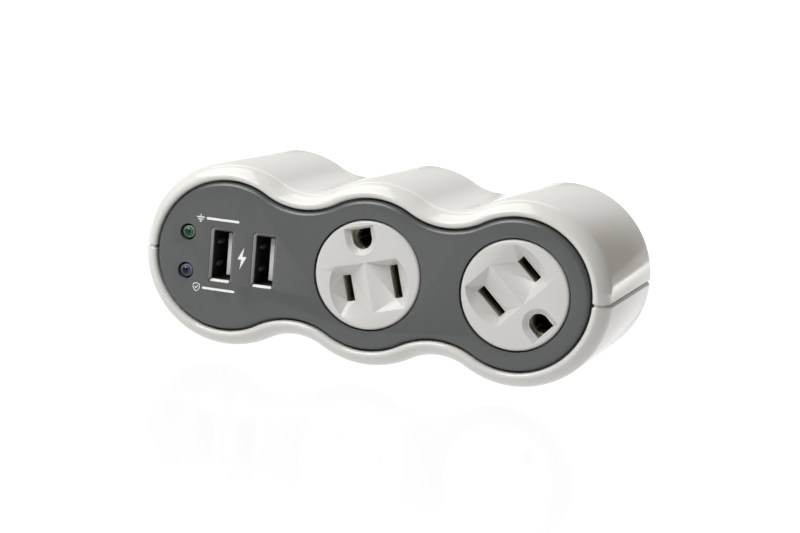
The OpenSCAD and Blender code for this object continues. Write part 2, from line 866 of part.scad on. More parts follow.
module middle_line_contact() {
  color(brass) stand() outlet_place(0, middle_turn) line_contact();
}

module middle_neutral_contact() {
  color(brass) stand() outlet_place(0, middle_turn) neutral_contact();
}

module middle_ground_contact() {
  color(brass) stand() outlet_place(0, middle_turn) ground_contact();
}

module middle_line_ring() {
  color(brass) stand() outlet_place(0, middle_turn) slip_ring(line_ring_r);
}

module middle_neutral_ring() {
  color(brass) stand() outlet_place(0, middle_turn) slip_ring(neutral_ring_r);
}

module middle_ground_stud() {
  color(brass) stand() outlet_place(0, middle_turn) ground_stud();
}

module middle_friction_ring() {
  color(black) stand() outlet_place(0, middle_turn) friction_ring();
}

module right_outlet_face() {
  color(outlet_white) stand() outlet_place(lobe_pitch, right_turn) outlet_face();
}

module right_outlet_core() {
  color(ivory) stand() outlet_place(lobe_pitch, right_turn) outlet_core();
}

module right_outlet_back() {
  color(black) stand() outlet_place(lobe_pitch, right_turn) outlet_back();
}

module right_line_contact() {
  color(brass) stand() outlet_place(lobe_pitch, right_turn) line_contact();
}

module right_neutral_contact() {
  color(brass) stand() outlet_place(lobe_pitch, right_turn) neutral_contact();
}

module right_ground_contact() {
  color(brass) stand() outlet_place(lobe_pitch, right_turn) ground_contact();
}

module right_line_ring() {
  color(brass) stand() outlet_place(lobe_pitch, right_turn) slip_ring(line_ring_r);
}

module right_neutral_ring() {
  color(brass) stand() outlet_place(lobe_pitch, right_turn) slip_ring(neutral_ring_r);
}

module right_ground_stud() {
  color(brass) stand() outlet_place(lobe_pitch, right_turn) ground_stud();
}

module right_friction_ring() {
  color(black) stand() outlet_place(lobe_pitch, right_turn) friction_ring();
}

upper_shell();
lower_shell();
front_plate();
rear_cover();
housing_screws();
plug_base();
line_blade();
neutral_blade();
ground_pin();
contact_carrier();
carrier_screws();
line_bus();
neutral_bus();
ground_bus();
surge_board();
surge_board_screws();
line_varistor();
neutral_varistor();
ground_varistor();
thermal_fuse();
noise_capacitor();
noise_choke();
charger_board();
charger_board_screws();
charger_transformer();
charger_capacitors();
port_board();
line_lead();
neutral_lead();
ground_lead();
charger_leads();
left_port_shell();
left_port_tongue();
left_port_contacts();
right_port_shell();
right_port_tongue();
right_port_contacts();
ground_lamp();
surge_lamp();
middle_outlet_face();
middle_outlet_core();
middle_outlet_back();
middle_line_contact();
middle_neutral_contact();
middle_ground_contact();
middle_line_ring();
middle_neutral_ring();
middle_ground_stud();
middle_friction_ring();
right_outlet_face();
right_outlet_core();
right_outlet_back();
right_line_contact();
right_neutral_contact();
right_ground_contact();
right_line_ring();
right_neutral_ring();
right_ground_stud();
right_friction_ring();
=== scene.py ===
import json
import math
import bpy
from mathutils import Matrix, Vector


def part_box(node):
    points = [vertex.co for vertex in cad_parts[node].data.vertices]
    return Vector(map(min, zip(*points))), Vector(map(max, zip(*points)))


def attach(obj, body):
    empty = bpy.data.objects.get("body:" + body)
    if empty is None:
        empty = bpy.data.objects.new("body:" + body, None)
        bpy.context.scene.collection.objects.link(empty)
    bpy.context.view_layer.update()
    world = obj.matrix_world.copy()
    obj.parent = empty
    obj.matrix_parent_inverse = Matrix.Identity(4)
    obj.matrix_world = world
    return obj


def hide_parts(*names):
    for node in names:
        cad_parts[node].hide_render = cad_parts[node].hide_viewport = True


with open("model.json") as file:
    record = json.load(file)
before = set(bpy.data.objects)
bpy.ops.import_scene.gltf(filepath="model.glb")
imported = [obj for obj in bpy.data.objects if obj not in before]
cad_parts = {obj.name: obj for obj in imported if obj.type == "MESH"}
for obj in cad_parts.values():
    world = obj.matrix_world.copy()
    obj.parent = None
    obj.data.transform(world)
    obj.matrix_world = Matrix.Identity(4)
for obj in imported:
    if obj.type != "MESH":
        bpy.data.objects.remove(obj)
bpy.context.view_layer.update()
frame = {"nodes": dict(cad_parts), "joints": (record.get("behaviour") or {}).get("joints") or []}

mm = 0.001
tiny = 0.001 * mm                               # places closer than this count as one
near = 0.01 * mm                                # reach of a search by place
print("frame loaded")

# places taken from the frame
joints = {joint["child"]: joint for joint in frame["joints"]}
axes = {name: Vector(joints[name + "_outlet"]["pos_m"]) for name in ("middle", "right")}
pitch = axes["right"].x - axes["middle"].x     # distance between two lobes' centres
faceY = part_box("front_plate")[0].y             # plane of the front plate and of the outlets' faces
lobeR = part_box("upper_shell")[1].z
waistReach = 38.4 * mm                         # from a lobe's centre to the centre of the waist curve beside it
waistX = pitch / 2
waistZ = math.sqrt(waistReach ** 2 - waistX ** 2)
waistAngle = math.atan2(waistZ, waistX)
ports = {side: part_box(side + "_port_shell") for side in ("left", "right")}
lamps = {use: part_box(use + "_lamp") for use in ("ground", "surge")}


def middle(box):
    return (box[0] + box[1]) / 2


# helpers for modelling
def deselectAll():
    if bpy.context.object and bpy.context.object.mode != "OBJECT":
        bpy.ops.object.mode_set(mode="OBJECT")
    bpy.ops.object.select_all(action="DESELECT")


def makeActive(piece):
    deselectAll()
    piece.select_set(True)
    bpy.context.view_layer.objects.active = piece


def named(name):
    piece = bpy.context.object
    piece.name = name
    piece.data.name = name
    return piece


def pick(piece, kind, test):
    # selects vertices, edges or faces by their place, and leaves the piece in edit mode
    makeActive(piece)
    bpy.ops.object.mode_set(mode="EDIT")
    bpy.ops.mesh.select_mode(type=kind)
    bpy.ops.mesh.select_all(action="DESELECT")
    bpy.ops.object.mode_set(mode="OBJECT")
    mesh = piece.data
    if kind == "VERT":
        for vertex in mesh.vertices:
            vertex.select = test(vertex.co)
    elif kind == "EDGE":
        for edge in mesh.edges:
            first, second = (mesh.vertices[index].co for index in edge.vertices)
            edge.select = test(first, second)
    else:
        for face in mesh.polygons:
            face.select = test(face.center, face.normal)
    bpy.ops.object.mode_set(mode="EDIT")


def startPoint(name, place):
    # one vertex, ready to be drawn on with extrudeBy and spinBy
    deselectAll()
    bpy.ops.mesh.primitive_plane_add(size=mm)
    piece = named(name)
    bpy.ops.object.mode_set(mode="EDIT")
    bpy.ops.mesh.select_mode(type="VERT")
    bpy.ops.mesh.select_all(action="SELECT")
    bpy.ops.mesh.merge(type="CENTER")
    bpy.ops.transform.translate(value=place)
    return piece


def extrudeBy(*step):
    bpy.ops.mesh.extrude_region_move(TRANSFORM_OT_translate={"value": step})


def spinBy(angle, centre, axis, steps):
    bpy.ops.mesh.spin(steps=steps, angle=angle, center=centre, axis=axis)


def scaleBy(value, centre=(0, 0, 0)):
    bpy.ops.transform.resize(value=value, center_override=centre)


def fillAll():
    bpy.ops.mesh.select_all(action="SELECT")
    bpy.ops.mesh.remove_doubles(threshold=tiny)
    bpy.ops.mesh.edge_face_add()


def closeMesh(threshold=2 * tiny):
    bpy.ops.mesh.select_all(action="SELECT")
    bpy.ops.mesh.remove_doubles(threshold=threshold)
    bpy.ops.mesh.normals_make_consistent(inside=False)
    bpy.ops.object.mode_set(mode="OBJECT")


def bevelPicked(piece, test, width, segments, clamp=True):
    pick(piece, "EDGE", test)
    bpy.ops.mesh.bevel(offset=width, segments=segments, affect="EDGES", clamp_overlap=clamp)
    bpy.ops.object.mode_set(mode="OBJECT")


def useModifier(piece, kind, **settings):
    makeActive(piece)
    modifier = piece.modifiers.new(kind.title(), kind)
    for key, value in settings.items():
        setattr(modifier, key, value)
    bpy.ops.object.modifier_apply(modifier=modifier.name)


def combine(piece, tool, operation="DIFFERENCE"):
    useModifier(piece, "BOOLEAN", object=tool, operation=operation, solver="EXACT")
    bpy.data.objects.remove(tool)


def softEdges(piece, width, segments=2, angle=30):
    useModifier(piece, "BEVEL", width=width, segments=segments, limit_method="ANGLE",
                angle_limit=math.radians(angle), use_clamp_overlap=True)


def smooth(piece, angle):
    makeActive(piece)
    bpy.ops.object.shade_smooth_by_angle(angle=math.radians(angle))


def boxBetween(name, low, high, corner=0.0, segments=4):
    # a block between two corners, its four edges along Y rounded where a corner radius is given
    deselectAll()
    low, high = Vector(low), Vector(high)
    bpy.ops.mesh.primitive_cube_add(size=1, location=(low + high) / 2)
    piece = named(name)
    piece.scale = high - low
    bpy.ops.object.transform_apply(location=True, rotation=True, scale=True)
    if corner:
        bevelPicked(piece, lambda a, b: abs(a.y - b.y) > (high.y - low.y) / 2, corner, segments)
    return piece


def cylinderBetween(name, radius, low, high, x, z, sides=96):
    # a round bar along Y between two depths
    deselectAll()
    bpy.ops.mesh.primitive_cylinder_add(vertices=sides, radius=radius, depth=abs(high - low),
                                        location=(x, (low + high) / 2, z), rotation=(math.pi / 2, 0, 0))
    bpy.ops.object.transform_apply(location=True, rotation=True, scale=True)
    return named(name)


def hullOf(name, first, second):
    # the convex shape stretched round two pieces
    makeActive(first)
    second.select_set(True)
    bpy.ops.object.join()
    bpy.ops.object.mode_set(mode="EDIT")
    bpy.ops.mesh.select_all(action="SELECT")
    bpy.ops.mesh.convex_hull()
    closeMesh()
    return named(name)


def copyOf(piece, name):
    makeActive(piece)
    bpy.ops.object.duplicate()
    return named(name)


pieces = []                                     # every new piece with its finish


def addPiece(piece, body, slot, *nodes):
    # the piece rides on a body, takes a finish and stands for CAD nodes
    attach(piece, body)
    if nodes:
        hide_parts(*nodes)
    pieces.append((piece, slot))


def followLobes(halves):
    # spins what is selected round the lobes from the right end over the top, and back below for two halves
    endTurn, waistTurn = math.pi - waistAngle, math.pi - 2 * waistAngle
    endSteps, waistSteps = 40, 20
    turns = [(endTurn, pitch, 0, endSteps), (-waistTurn, waistX, waistZ, waistSteps),
             (waistTurn, 0, 0, waistSteps), (-waistTurn, -waistX, waistZ, waistSteps),
             (endTurn, -pitch, 0, endSteps)]
    if halves == 2:
        turns += [(angle, x, -z, steps) for angle, x, z, steps in reversed(turns)]
    for angle, x, z, steps in turns:
        spinBy(angle, (x, 0, z), (0, 1, 0), steps)


def reachOf(co):
    # the lobe radius whose outline passes through a point
    x, z = abs(co.x), abs(co.z)
    side = x if x < waistX else pitch - x
    if math.atan2(z, side) > waistAngle - 0.0001:
        return math.hypot(side, z)
    return waistReach - math.hypot(x - waistX, z - waistZ)


# band: two gloss white shells that meet in a V groove
band = {"rearLip": 20.4 * mm, "rearLipDepth": 3.2 * mm, "wall": 2.2 * mm,
        "rearRound": 2.5 * mm, "rearSteps": 6, "domeRound": 6.7 * mm, "domeDepth": 5.5 * mm, "domeSteps": 11,
        "rim": 19.4 * mm, "rimRound": 0.95 * mm, "rimSteps": 8, "lipDepth": 2.9 * mm,
        "groove": 0.62 * mm, "slit": 0.07 * mm, "slitDepth": 1.5 * mm}


def makeShell():
    b = band
    inner = lobeR - b["wall"]
    domeR, domeY = lobeR - b["domeRound"], faceY + b["domeDepth"]
    rimR = b["rim"] + b["rimRound"]                 # the rim's rounding meets the dome and the opening smoothly
    rimAngle = math.acos((rimR - domeR) / (b["domeRound"] - b["rimRound"]))
    rimY = domeY - (b["domeRound"] - b["rimRound"]) * math.sin(rimAngle)
    lipY = faceY + b["lipDepth"]
    piece = startPoint("upperShell", (pitch + b["rearLip"], 0, 0))
    extrudeBy(lobeR - b["rearRound"] - b["rearLip"], 0, 0)
    spinBy(math.pi / 2, (pitch + lobeR - b["rearRound"], -b["rearRound"], 0), (0, 0, 1), b["rearSteps"])
    extrudeBy(0, domeY + b["rearRound"], 0)
    spinBy(rimAngle, (pitch + domeR, domeY, 0), (0, 0, 1), b["domeSteps"])
    spinBy(math.pi - rimAngle, (pitch + rimR, rimY, 0), (0, 0, 1), b["rimSteps"])
    extrudeBy(0, lipY - rimY, 0)
    extrudeBy(inner - b["rim"], 0, 0)
    extrudeBy(0, -b["rearLipDepth"] - lipY, 0)
    extrudeBy(b["rearLip"] - inner, 0, 0)
    extrudeBy(0, b["rearLipDepth"], 0)
    fillAll()
    followLobes(1)
    closeMesh()

    def isHollow(co):
        # on the walls of the hollow, which keep their sharp edges
        return lipY - near < co.y < near - b["rearLipDepth"] and b["rim"] + near < reachOf(co) < inner + near

    def onGroove(first, second):
        # on the outline of the flat that meets the other shell
        return max(abs(first.z), abs(second.z)) < tiny and not isHollow(first) and not isHollow(second)

    bevelPicked(piece, onGroove, b["groove"], 1, clamp=False)
    for side in (-1, 1):
        ends = sorted(side * reach for reach in (pitch + lobeR - b["slitDepth"], pitch + lobeR + mm))
        combine(piece, boxBetween("slit", (ends[0], faceY - mm, -mm), (ends[1], mm, b["slit"])))
    smooth(piece, 30)
    return piece


upperShell = makeShell()
lowerShell = copyOf(upperShell, "lowerShell")
bpy.ops.object.mode_set(mode="EDIT")
bpy.ops.mesh.select_all(action="SELECT")
scaleBy((1, 1, -1))
closeMesh()
addPiece(upperShell, "housing", "gloss_white", "upper_shell")
addPiece(lowerShell, "housing", "gloss_white", "lower_shell")
print("band made")


# front plate: a lobed slab with a rounded edge, a wider flange behind it, and its openings
def lobedSlab(name, reach, low, high):
    piece = startPoint(name, (pitch + reach, low, 0))
    followLobes(2)
    fillAll()
    extrudeBy(0, high - low, 0)
    closeMesh()
    return piece


plate = {"reach": 18.87 * mm, "edge": 1.2 * mm, "thick": 3 * mm,
         "flangeReach": 20.8 * mm, "flangeThick": 1.8 * mm,
         "bore": 14.2 * mm, "flangeBore": 15.6 * mm, "holeEdge": 0.3 * mm, "lampHole": 2.15 * mm,
         "portOpening": (6.3 * mm, 13.9 * mm), "portCorner": 0.5 * mm,
         "post": 2.45 * mm, "postY": -26 * mm, "postZ": 12.4 * mm, "leftPost": 17.6 * mm, "rightPost": 17.75 * mm,
         "lug": 2.5 * mm, "lugY": -22.4 * mm, "lugZ": 18 * mm, "screwHole": 1.2 * mm, "screwDepth": 10 * mm}
posts = [(side * waistX, up * plate["postZ"]) for side in (-1, 1) for up in (-1, 1)]
posts += [(-pitch - plate["leftPost"], 0), (pitch + plate["rightPost"], 0)]
lugs = [(place.x, up * plate["lugZ"]) for place in axes.values() for up in (-1, 1)]


def isRim(co, hole):
    # on the edge of a hole, which is round with a radius or square with half its width and height
    kind, x, z, wide, high = hole
    if kind == "round":
        return abs(math.hypot(co.x - x, co.z - z) - wide) < 2 * near
    outside = max(abs(co.x - x) - wide, abs(co.z - z) - high)
    return -10 * near < outside < near


def makePlate():
    p = plate
    backY = faceY + p["thick"]
    flangeY = backY + p["flangeThick"]
    piece = lobedSlab("frontPlate", p["reach"], faceY, backY)
    bevelPicked(piece, lambda first, second: max(first.y, second.y) < faceY + near, p["edge"], 5)
    combine(piece, lobedSlab("flange", p["flangeReach"], backY - 0.1 * mm, flangeY), "UNION")
    for radius, endY, places in ((p["post"], p["postY"], posts), (p["lug"], p["lugY"], lugs)):
        for x, z in places:
            combine(piece, cylinderBetween("post", radius, flangeY - 0.2 * mm, endY, x, z, sides=48), "UNION")
            combine(piece, cylinderBetween("hole", p["screwHole"], endY + mm, endY - p["screwDepth"], x, z, sides=32))
    for place in axes.values():
        combine(piece, cylinderBetween("bore", p["bore"], faceY - mm, flangeY + mm, place.x, 0, sides=128))
        combine(piece, cylinderBetween("bore", p["flangeBore"], backY, flangeY + mm, place.x, 0, sides=128))
    for box in ports.values():
        centre = middle(box)
        half = Vector((p["portOpening"][0] / 2, 0, p["portOpening"][1] / 2))
        combine(piece, boxBetween("opening", Vector((centre.x, faceY - mm, centre.z)) - half,
                                  Vector((centre.x, flangeY + mm, centre.z)) + half, p["portCorner"]))
    for box in lamps.values():
        centre = middle(box)
        combine(piece, cylinderBetween("hole", p["lampHole"], faceY - mm, flangeY + mm, centre.x, centre.z, sides=48))
    holes = [("round", place.x, 0, p["bore"], 0) for place in axes.values()]
    holes += [("round", middle(box).x, middle(box).z, p["lampHole"], 0) for box in lamps.values()]
    holes += [("square", middle(box).x, middle(box).z, p["portOpening"][0] / 2, p["portOpening"][1] / 2)
              for box in ports.values()]

    def onHoleEdge(first, second):
        if max(first.y, second.y) > faceY + tiny:
            return False
        return any(isRim(first, hole) and isRim(second, hole) for hole in holes)

    bevelPicked(piece, onHoleEdge, p["holeEdge"], 3)
    smooth(piece, 35)
    return piece


addPiece(makePlate(), "housing", "plate_grey", "front_plate")
print("front plate made")

# outlets: a disc with two funnels, a ground hole and a barrel behind it
outlet = {"reach": 13.8 * mm, "edge": 0.75 * mm, "soft": 0.2 * mm,
          "flange": 15.2 * mm, "flangeY": faceY + 3.4 * mm, "barrel": 13.4 * mm, "barrelY": faceY + 5 * mm,
          "backY": -29 * mm, "bore": 11.9 * mm, "floorY": -45.1 * mm, "skin": 0.9 * mm,
          "slots": {-1: (2.1 * mm, 6.7 * mm), 1: (2.1 * mm, 8.4 * mm)}, "slotX": 6.35 * mm, "slotZ": -2.74 * mm,
          "slotRoom": (2.6 * mm, 5.2 * mm), "slotCorner": 0.2 * mm,
          "funnel": 10.5 * mm, "funnelTop": 3.2 * mm, "funnelLow": -9.5 * mm, "funnelDepth": 3 * mm,
          "ridge": 0.15 * mm, "ground": 2.58 * mm, "groundZ": 9.15 * mm, "groundRoom": 3.9 * mm,
          "recess": 4 * mm, "recessTop": 3.2 * mm, "recessLow": 2.75 * mm, "recessDepth": 1.2 * mm,
          "turns": {"middle": 15.2, "right": 226}}      # degrees from ground up


def dShape(name, radius, top, low, high):
    # a round bar whose upper half is squared off
    z = outlet["groundZ"]
    piece = cylinderBetween(name, radius, low, high, 0, z, sides=64)
    combine(piece, boxBetween("square", (-radius, low, z), (radius, high, z + radius)), "UNION")
    combine(piece, boxBetween("above", (-2 * radius, low - mm, z + top),
                              (2 * radius, high + mm, z + 3 * radius)))
    return piece


def makeFunnel(side, low, high):
    # a round mouth, cut off at the ridge and at its top and bottom, that narrows to the slot's corners
    o = outlet
    centreZ = (o["funnelTop"] + o["funnelLow"]) / 2
    mouth = cylinderBetween("mouth", o["funnel"], faceY - 0.5 * mm, faceY, 0, centreZ, sides=96)
    pick(mouth, "FACE", lambda centre, normal: True)
    cuts = [((side * o["ridge"], 0, 0), (-side, 0, 0)), ((0, 0, o["funnelTop"]), (0, 0, 1)),
            ((0, 0, o["funnelLow"]), (0, 0, -1))]
    for place, outwards in cuts:
        bpy.ops.mesh.select_all(action="SELECT")
        bpy.ops.mesh.bisect(plane_co=place, plane_no=outwards, use_fill=True, clear_outer=True)
    bpy.ops.object.mode_set(mode="OBJECT")
    return hullOf("funnel", mouth, boxBetween("tip", low, high))


def makeOutlet():
    o = outlet
    piece = cylinderBetween("outletFace", o["reach"], faceY, o["flangeY"], 0, 0, sides=128)
    bevelPicked(piece, lambda first, second: max(first.y, second.y) < faceY + near, o["edge"], 6)
    pick(piece, "FACE", lambda centre, normal: normal.y > 0.9)
    radius, depth = o["reach"], o["flangeY"]
    for nextRadius, nextDepth in ((o["flange"], o["barrelY"]), (o["barrel"], o["backY"]), (o["bore"], o["floorY"])):
        extrudeBy(0, 0, 0)
        scaleBy((nextRadius / radius, 1, nextRadius / radius))
        extrudeBy(0, nextDepth - depth, 0)
        radius, depth = nextRadius, nextDepth
    bpy.ops.object.mode_set(mode="OBJECT")
    for side, (wide, tall) in o["slots"].items():
        x = side * o["slotX"]
        low = Vector((x - wide / 2, faceY, o["slotZ"] - tall / 2))
        high = Vector((x + wide / 2, faceY + o["funnelDepth"], o["slotZ"] + tall / 2))
        combine(piece, makeFunnel(side, low, high))
        combine(piece, boxBetween("slot", low, Vector((high.x, o["floorY"] + mm, high.z)), o["slotCorner"], 3))
        roomX, roomZ = o["slotRoom"]                # the wall round each slot is thin, with a dark space behind it
        combine(piece, boxBetween("room", (x - roomX, high.y + o["skin"], o["slotZ"] - roomZ),
                                  (x + roomX, o["floorY"] + mm, o["slotZ"] + roomZ)))
    combine(piece, dShape("hole", o["ground"], o["ground"], faceY - mm, o["floorY"] + mm))
    bottomY = faceY + o["recessDepth"]
    combine(piece, hullOf("recess", dShape("mouth", o["recess"], o["recessTop"], faceY - 0.5 * mm, faceY),
                          dShape("low", o["recessLow"], o["recessLow"], bottomY - 0.05 * mm, bottomY)))
    combine(piece, cylinderBetween("room", o["groundRoom"], bottomY + o["skin"], o["floorY"] + mm, 0, o["groundZ"]))
    softEdges(piece, o["soft"], segments=3, angle=18)
    makeActive(piece)
    bpy.ops.object.mode_set(mode="EDIT")
    closeMesh(4 * tiny)
    smooth(piece, 32)
    return piece


outletFace = makeOutlet()
for name, place in axes.items():
    face = copyOf(outletFace, name + "OutletFace")
    face.rotation_euler = (0, -math.radians(outlet["turns"][name]), 0)
    face.location = (place.x, 0, place.z)
    bpy.ops.object.transform_apply(location=True, rotation=True, scale=True)
    addPiece(face, name + "_outlet", "outlet_white", name + "_outlet_face")
bpy.data.objects.remove(outletFace)
print("outlets made")

# USB ports: a sheet metal shell with a flared lip and spring dimples
port = {"sheet": 0.3 * mm, "inside": (5.12 * mm, 12.5 * mm), "mouth": (6.2 * mm, 13.8 * mm), "lip": 0.6 * mm,
        "lipEdge": 0.08 * mm, "corner": 0.4 * mm, "floorY": -36.6 * mm, "springZ": 2.9 * mm,
        "spring": (0.5 * mm, 2.2 * mm, 0.8 * mm), "springDepth": 5.6 * mm, "springSkin": 0.1 * mm}


def portBlock(name, centre, size, lowY, highY, corner):
    wide, tall = size
    return boxBetween(name, (centre.x - wide / 2, lowY, centre.z - tall / 2),
                      (centre.x + wide / 2, highY, centre.z + tall / 2), corner)


def makePortShell(side):
    p = port
    low, high = ports[side]
    centre = middle((low, high))
    lipY = low.y + p["lip"]
    outside = tuple(size + 2 * p["sheet"] for size in p["inside"])
    flare = tuple(size - 2 * p["lipEdge"] for size in p["mouth"])
    innerCorner = 0.6 * p["corner"]
    piece = portBlock(side + "PortShell", centre, p["mouth"], low.y, lipY, 2 * p["corner"])
    combine(piece, portBlock("tube", centre, outside, lipY - 0.2 * mm, high.y, p["corner"]), "UNION")
    combine(piece, portBlock("inside", centre, p["inside"], low.y - mm, p["floorY"], innerCorner))
    combine(piece, hullOf("flare", portBlock("mouth", centre, flare, low.y - 0.02 * mm, low.y, 1.8 * p["corner"]),
                          portBlock("throat", centre, p["inside"], lipY, lipY + 0.02 * mm, innerCorner)))
    for up in (-1, 1):
        wallX, z = centre.x - p["inside"][0] / 2, centre.z + up * p["springZ"]
        deselectAll()
        bpy.ops.mesh.primitive_uv_sphere_add(segments=24, ring_count=16, radius=1,
                                             location=(wallX, low.y + p["springDepth"], z))
        spring = named("spring")
        spring.scale = p["spring"]
        bpy.ops.object.transform_apply(location=True, rotation=True, scale=True)
        combine(spring, boxBetween("outside", (wallX - mm, low.y, z - mm),
                                   (wallX - p["springSkin"], high.y, z + mm)))
        combine(piece, spring, "UNION")
    smooth(piece, 35)
    return piece


for side in ports:
    addPiece(makePortShell(side), "housing", "port_nickel", side + "_port_shell")
print("ports made")


def softened(node, name, width):
    # a copy of a CAD node with its edges rounded
    piece = copyOf(frame["nodes"][node], name)
    piece.parent = None
    for key in list(piece.keys()):
        del piece[key]
    bpy.ops.object.mode_set(mode="EDIT")
    bpy.ops.mesh.select_all(action="SELECT")
    bpy.ops.mesh.remove_doubles(threshold=2 * tiny)
    bpy.ops.mesh.dissolve_limited(angle_limit=math.radians(0.5))
    bpy.ops.object.mode_set(mode="OBJECT")
    softEdges(piece, width)
    smooth(piece, 30)
    return piece


# the name, the finish and the edges' width in millimetres of each
roundings = {"rear_cover": ("rearCover", "plate_grey", 0.3), "plug_base": ("plugBase", "black_plastic", 0.35),
             "line_blade": ("lineBlade", "brass", 0.12), "neutral_blade": ("neutralBlade", "brass", 0.12),
             "ground_pin": ("groundPin", "brass", 0.15),
             "housing_screws": ("housingScrews", "screw_steel", 0.08),
             "left_port_tongue": ("leftPortTongue", "lead_white", 0.2),
             "right_port_tongue": ("rightPortTongue", "lead_white", 0.2)}
for node, (name, slot, width) in roundings.items():
    addPiece(softened(node, name, width * mm), "housing", slot, node)
print("roundings made")

# lamps: a domed lens on a clear stem with a foot and two legs
lampShape = {"lens": 1.6 * mm, "dome": 1.1 * mm, "bead": 0.12 * mm, "stemY": -43 * mm,
             "foot": 1.9 * mm, "footThick": mm, "leg": 0.25 * mm, "legX": 1.27 * mm}


def makeLamp(use):
    low, high = lamps[use]
    s = lampShape
    centre = middle((low, high))
    ball = (s["lens"] ** 2 + s["dome"] ** 2) / 2 / s["dome"]       # radius of the dome's sphere
    piece = startPoint(use + "Lamp", (centre.x, low.y, centre.z))
    spinBy(-math.asin(s["lens"] / ball), (centre.x, low.y + ball, centre.z), (0, 0, 1), 12)
    extrudeBy(0, s["stemY"] - low.y - s["dome"], 0)
    extrudeBy(s["foot"] - s["lens"], 0, 0)
    extrudeBy(0, s["footThick"], 0)
    extrudeBy(-s["foot"], 0, 0)
    bpy.ops.mesh.select_all(action="SELECT")
    spinBy(2 * math.pi, centre, (0, 1, 0), 48)
    closeMesh()

    def onBead(first, second):
        # on the ring where the dome meets the stem
        return abs(first.y - second.y) < tiny and abs(first.y - low.y - s["dome"]) < near

    bevelPicked(piece, onBead, s["bead"], 2)
    for side in (-1, 1):
        combine(piece, cylinderBetween("leg", s["leg"], s["stemY"] + s["footThick"] * 0.9, high.y,
                                       centre.x + side * s["legX"], centre.z, sides=16), "UNION")
    smooth(piece, 35)
    return piece


for use in lamps:
    addPiece(makeLamp(use), "housing", {"ground": "lamp_green", "surge": "lamp_blue"}[use], use + "_lamp")
print("lamps made")

# printed marks: an earth sign and a shield, each with a bar, beside the lamps, and a bolt between the ports
prints = {"raise": 0.03 * mm, "ink": "lead_white"}


def drawOutline(name, points, line=0):
    # a flat closed shape on the plate's face, or only its outline where a line width is given
    piece = startPoint(name, (points[0][0] * mm, faceY - prints["raise"], points[0][1] * mm))
    for (x, z), (nextX, nextZ) in zip(points, points[1:]):
        extrudeBy((nextX - x) * mm, 0, (nextZ - z) * mm)
    fillAll()
    if line:
        bpy.ops.mesh.inset(thickness=line * mm)
        bpy.ops.mesh.delete(type="ONLY_FACE")
        bpy.ops.mesh.select_all(action="SELECT")
    extrudeBy(0, 1.5 * prints["raise"], 0)
    closeMesh()
    return piece


def bar(x, z, wide, tall):
    # a bar with rounded ends
    end = wide / 2 - tall / 2
    angles = [math.radians(angle) for angle in range(-90, 91, 30)]
    return [(x + end + tall / 2 * math.cos(angle), z + tall / 2 * math.sin(angle)) for angle in angles] + \
        [(x - end - tall / 2 * math.cos(angle), z - tall / 2 * math.sin(angle)) for angle in angles]


def makeMark(name, outlines):
    shapes = [drawOutline(name, *outline) for outline in outlines]
    makeActive(shapes[0])
    for shape in shapes[1:]:
        shape.select_set(True)
    bpy.ops.object.join()
    return named(name)


ex, ez = -45.7, 9.1       # the earth sign's place across and up, in millimetres as every mark's outline
sx, sz = -45.7, -8.9      # the shield's
bx, bz = -33.7, 0         # the bolt's
marks = {
    "groundMark": [(bar(ex, ez + 0.75, 0.28, 0.29),), (bar(ex, ez + 0.5, 0.28, 0.29),),
                   (bar(ex, ez + 0.15, 2.2, 0.28),), (bar(ex, ez - 0.4, 1.4, 0.28),),
                   (bar(ex, ez - 0.95, 0.6, 0.28),), (bar(ex + 6.1, ez, 9.0, 0.6),)],
    "surgeMark": [([(sx, sz - 1.2), (sx + 0.6, sz - 0.75), (sx + 0.95, sz - 0.15), (sx + 0.95, sz + 0.85),
                    (sx, sz + 1.15), (sx - 0.95, sz + 0.85), (sx - 0.95, sz - 0.15), (sx - 0.6, sz - 0.75)], 0.17),
                  ([(sx - 0.5, sz + 0.12), (sx - 0.12, sz - 0.5), (sx + 0.52, sz + 0.45), (sx + 0.36, sz + 0.56),
                    (sx - 0.13, sz - 0.17), (sx - 0.36, sz + 0.2)],), (bar(sx + 6.1, sz, 9.0, 0.6),)],
    "chargeMark": [([(bx + 0.45, bz + 2.9), (bx - 1.2, bz - 0.35), (bx - 0.15, bz - 0.35),
                     (bx - 0.5, bz - 2.9), (bx + 1.2, bz + 0.45), (bx + 0.1, bz + 0.45)],)],
}
for name, outlines in marks.items():
    addPiece(makeMark(name, outlines), "housing", prints["ink"])
print("marks made")


class Signal:
    # a socket that takes part in shader maths
    def __init__(self, finish, socket):
        self.finish = finish
        self.socket = socket

    def sum(self, operation, first, second):
        return self.finish.node("ShaderNodeMath", {"operation": operation}, {0: first, 1: second})

    def __add__(self, other):
        return self.sum("ADD", self, other)

    def __sub__(self, other):
        return self.sum("SUBTRACT", self, other)

    def __rsub__(self, other):
        return self.sum("SUBTRACT", other, self)

    def __mul__(self, other):
        return self.sum("MULTIPLY", self, other)

    def __truediv__(self, other):
        return self.sum("DIVIDE", self, other)

    def __pow__(self, other):
        return self.sum("POWER", self, other)

    __radd__ = __add__
    __rmul__ = __mul__


